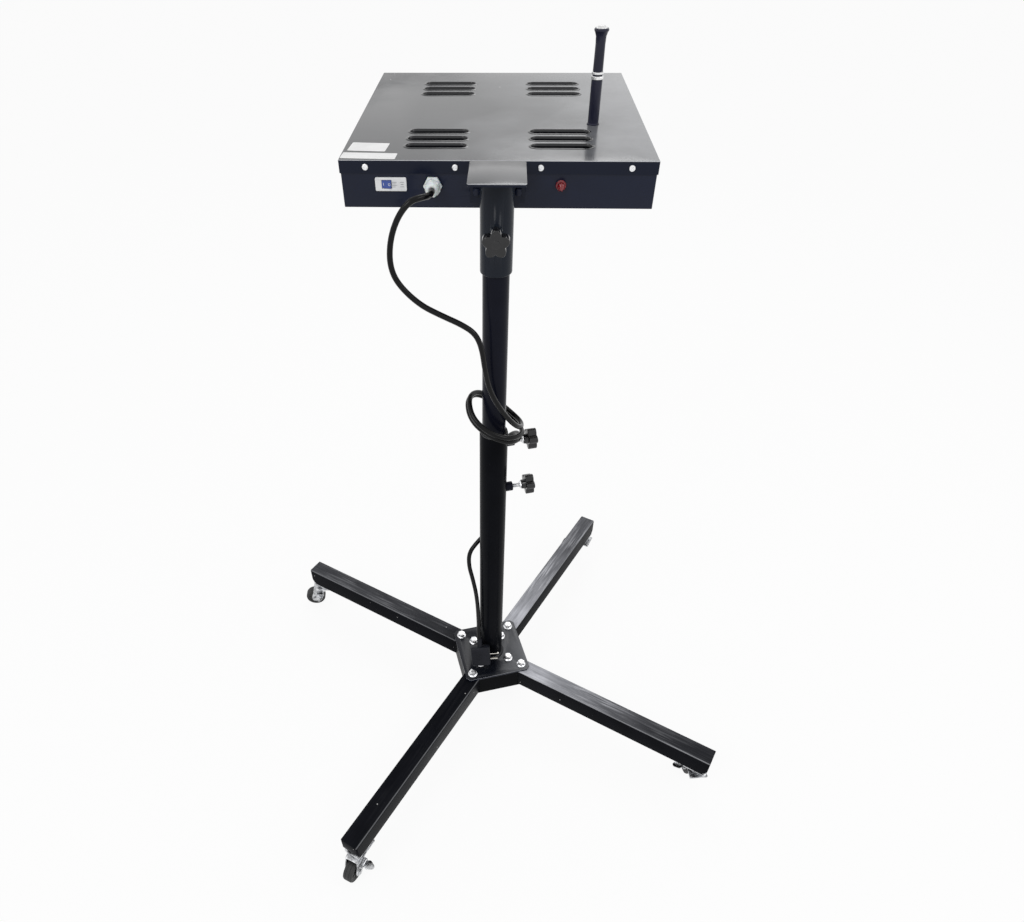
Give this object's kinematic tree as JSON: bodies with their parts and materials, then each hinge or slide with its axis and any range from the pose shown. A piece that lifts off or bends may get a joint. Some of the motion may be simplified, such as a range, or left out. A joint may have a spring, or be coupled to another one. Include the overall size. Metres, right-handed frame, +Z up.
{
  "type": "screen printing flash dryer on a stand",
  "caption": "Infrared flash dryer: a flat square heater head with a lid grip, switch and pilot lamp, on a height-adjustable mast over a four-leg caster base.",
  "frame": {"origin": "the point on the floor under the column's axis", "axes": "+Z up along the column, +Y from the mast towards the heater head, +X to the right as seen from the switch side"},
  "size_m": [0.9923, 1.0747, 1.327],
  "materials": {
    "frame_paint": "satin",
    "hub_paint": "gloss",
    "case_paint": "gloss",
    "lid_paint": "gloss",
    "arm_plate_paint": "gloss",
    "zinc": "bright zinc plated",
    "chrome": "bright",
    "axle_steel": "plain",
    "wheel_black": "matte",
    "knob_black": "moulded",
    "bush_black": "moulded",
    "gland_white": "nylon",
    "switch_white": "gloss",
    "rocker_blue": "gloss",
    "lamp_red": "clear tinted",
    "lamp_ring": "gloss",
    "grip_grey": "gloss",
    "grip_trim": "bright",
    "board_white": "ceramic fibre",
    "rod_quartz": "quartz",
    "guard_steel": "plain wire",
    "cord_black": "satin jacket",
    "plug_black": "moulded",
    "blade_metal": "nickel plated"
  },
  "bodies": {
    "base": {"hub_plate": "hub_paint", "hub_box": "frame_paint", "hub_bolts": "zinc", "hub_nuts": "zinc", "leg_fl": "frame_paint", "leg_rf": "frame_paint", "leg_br": "frame_paint", "leg_lb": "frame_paint", "column_tube": "frame_paint", "column_weld": "frame_paint", "column_bush": "bush_black", "boss_upper": "frame_paint", "boss_lower": "frame_paint", "caster_top_fl": "chrome", "caster_top_rf": "chrome", "caster_top_br": "chrome", "caster_top_lb": "chrome", "caster_nuts": "axle_steel", "cord_lower": "cord_black", "plug_body": "plug_black", "plug_blades": "blade_metal"},
    "mast": {"mast_tube": "frame_paint", "mast_ring": "bush_black"},
    "head": {"arm_sleeve": "case_paint", "arm_plate": "arm_plate_paint", "arm_bolts": "case_paint", "head_case": "case_paint", "head_lid": "lid_paint", "lid_screws": "zinc", "switch_bezel": "switch_white", "cord_gland": "gland_white", "gland_locknut": "gland_white", "lamp_body": "lamp_ring", "lamp_lens": "lamp_red", "handle_grip": "grip_grey", "handle_trim": "grip_trim", "heater_board": "board_white", "heater_rods": "rod_quartz", "heater_guard": "guard_steel", "cord_upper": "cord_black"},
    "rocker": {"switch_rocker": "rocker_blue"},
    "knob_upper": {"knob_screw_upper": "zinc", "knob_grip_upper": "knob_black"},
    "knob_lower": {"knob_screw_lower": "zinc", "knob_grip_lower": "knob_black"},
    "knob_arm": {"knob_screw_arm": "zinc", "knob_grip_arm": "knob_black"},
    "fork_rf": {"caster_fork_rf": "chrome"},
    "wheel_rf": {"caster_wheel_rf": "wheel_black"},
    "brake_rf": {"caster_brake_rf": "chrome"},
    "fork_br": {"caster_fork_br": "chrome"},
    "wheel_br": {"caster_wheel_br": "wheel_black"},
    "brake_br": {"caster_brake_br": "chrome"},
    "fork_lb": {"caster_fork_lb": "chrome"},
    "wheel_lb": {"caster_wheel_lb": "wheel_black"},
    "brake_lb": {"caster_brake_lb": "chrome"},
    "fork_fl": {"caster_fork_fl": "chrome"},
    "wheel_fl": {"caster_wheel_fl": "wheel_black"},
    "brake_fl": {"caster_brake_fl": "chrome"}
  },
  "joints": [
    {"name": "mast_height", "type": "slide", "parent": "base", "child": "mast", "axis": [0, 0, 1], "range_m": [-0.2, 0.12], "deforming": ["cord_lower"]},
    {"name": "head_swivel", "type": "hinge", "parent": "mast", "child": "head", "pos_m": [0, 0, 1.19], "axis": [0, 0, 1], "range_deg": [-90, 90]},
    {"name": "switch_rock", "type": "hinge", "parent": "head", "child": "rocker", "pos_m": [-0.161, 0.0465, 1.164], "axis": [0, 0, 1], "range_deg": [0, 18]},
    {"name": "knob_turn_upper", "type": "hinge", "parent": "base", "child": "knob_upper", "pos_m": [0.04811, 0.01361, 0.735], "axis": [0.9622, 0.2723, 0], "continuous": true},
    {"name": "knob_turn_lower", "type": "hinge", "parent": "base", "child": "knob_lower", "pos_m": [0.04811, 0.01361, 0.628], "axis": [0.9622, 0.2723, 0], "continuous": true},
    {"name": "knob_turn_arm", "type": "hinge", "parent": "head", "child": "knob_arm", "pos_m": [0, -0.05, 1.126], "axis": [0, -1, 0], "continuous": true},
    {"name": "caster_swivel_rf", "type": "hinge", "parent": "base", "child": "fork_rf", "pos_m": [0.45174, -0.25247, 0.07], "axis": [0, 0, 1], "continuous": true},
    {"name": "wheel_spin_rf", "type": "hinge", "parent": "fork_rf", "child": "wheel_rf", "pos_m": [0.44795, -0.22069, 0.025], "axis": [-0.993, -0.1184, 0], "continuous": true},
    {"name": "brake_press_rf", "type": "hinge", "parent": "fork_rf", "child": "brake_rf", "pos_m": [0.43124, -0.23678, 0.042], "axis": [-0.1184, 0.993, 0], "range_deg": [-25, 0]},
    {"name": "caster_swivel_br", "type": "hinge", "parent": "base", "child": "fork_br", "pos_m": [0.25247, 0.45174, 0.07], "axis": [0, 0, 1], "continuous": true},
    {"name": "wheel_spin_br", "type": "hinge", "parent": "fork_br", "child": "wheel_br", "pos_m": [0.22328, 0.46486, 0.025], "axis": [-0.4099, -0.9121, 0], "continuous": true},
    {"name": "brake_press_br", "type": "hinge", "parent": "fork_br", "child": "brake_br", "pos_m": [0.22847, 0.44224, 0.042], "axis": [-0.9121, 0.4099, 0], "range_deg": [-25, 0]},
    {"name": "caster_swivel_lb", "type": "hinge", "parent": "base", "child": "fork_lb", "pos_m": [-0.45174, 0.25247, 0.07], "axis": [0, 0, 1], "continuous": true},
    {"name": "wheel_spin_lb", "type": "hinge", "parent": "fork_lb", "child": "wheel_lb", "pos_m": [-0.48357, 0.24923, 0.025], "axis": [0.1011, -0.9949, 0], "continuous": true},
    {"name": "brake_press_lb", "type": "hinge", "parent": "fork_lb", "child": "brake_lb", "pos_m": [-0.46777, 0.23224, 0.042], "axis": [-0.9949, -0.1011, 0], "range_deg": [-25, 0]},
    {"name": "caster_swivel_fl", "type": "hinge", "parent": "base", "child": "fork_fl", "pos_m": [-0.25247, -0.45174, 0.07], "axis": [0, 0, 1], "continuous": true},
    {"name": "wheel_spin_fl", "type": "hinge", "parent": "fork_fl", "child": "wheel_fl", "pos_m": [-0.26559, -0.48092, 0.025], "axis": [0.9121, -0.4099, 0], "continuous": true},
    {"name": "brake_press_fl", "type": "hinge", "parent": "fork_fl", "child": "brake_fl", "pos_m": [-0.24297, -0.47574, 0.042], "axis": [-0.4099, -0.9121, 0], "range_deg": [-25, 0]}
  ]
}
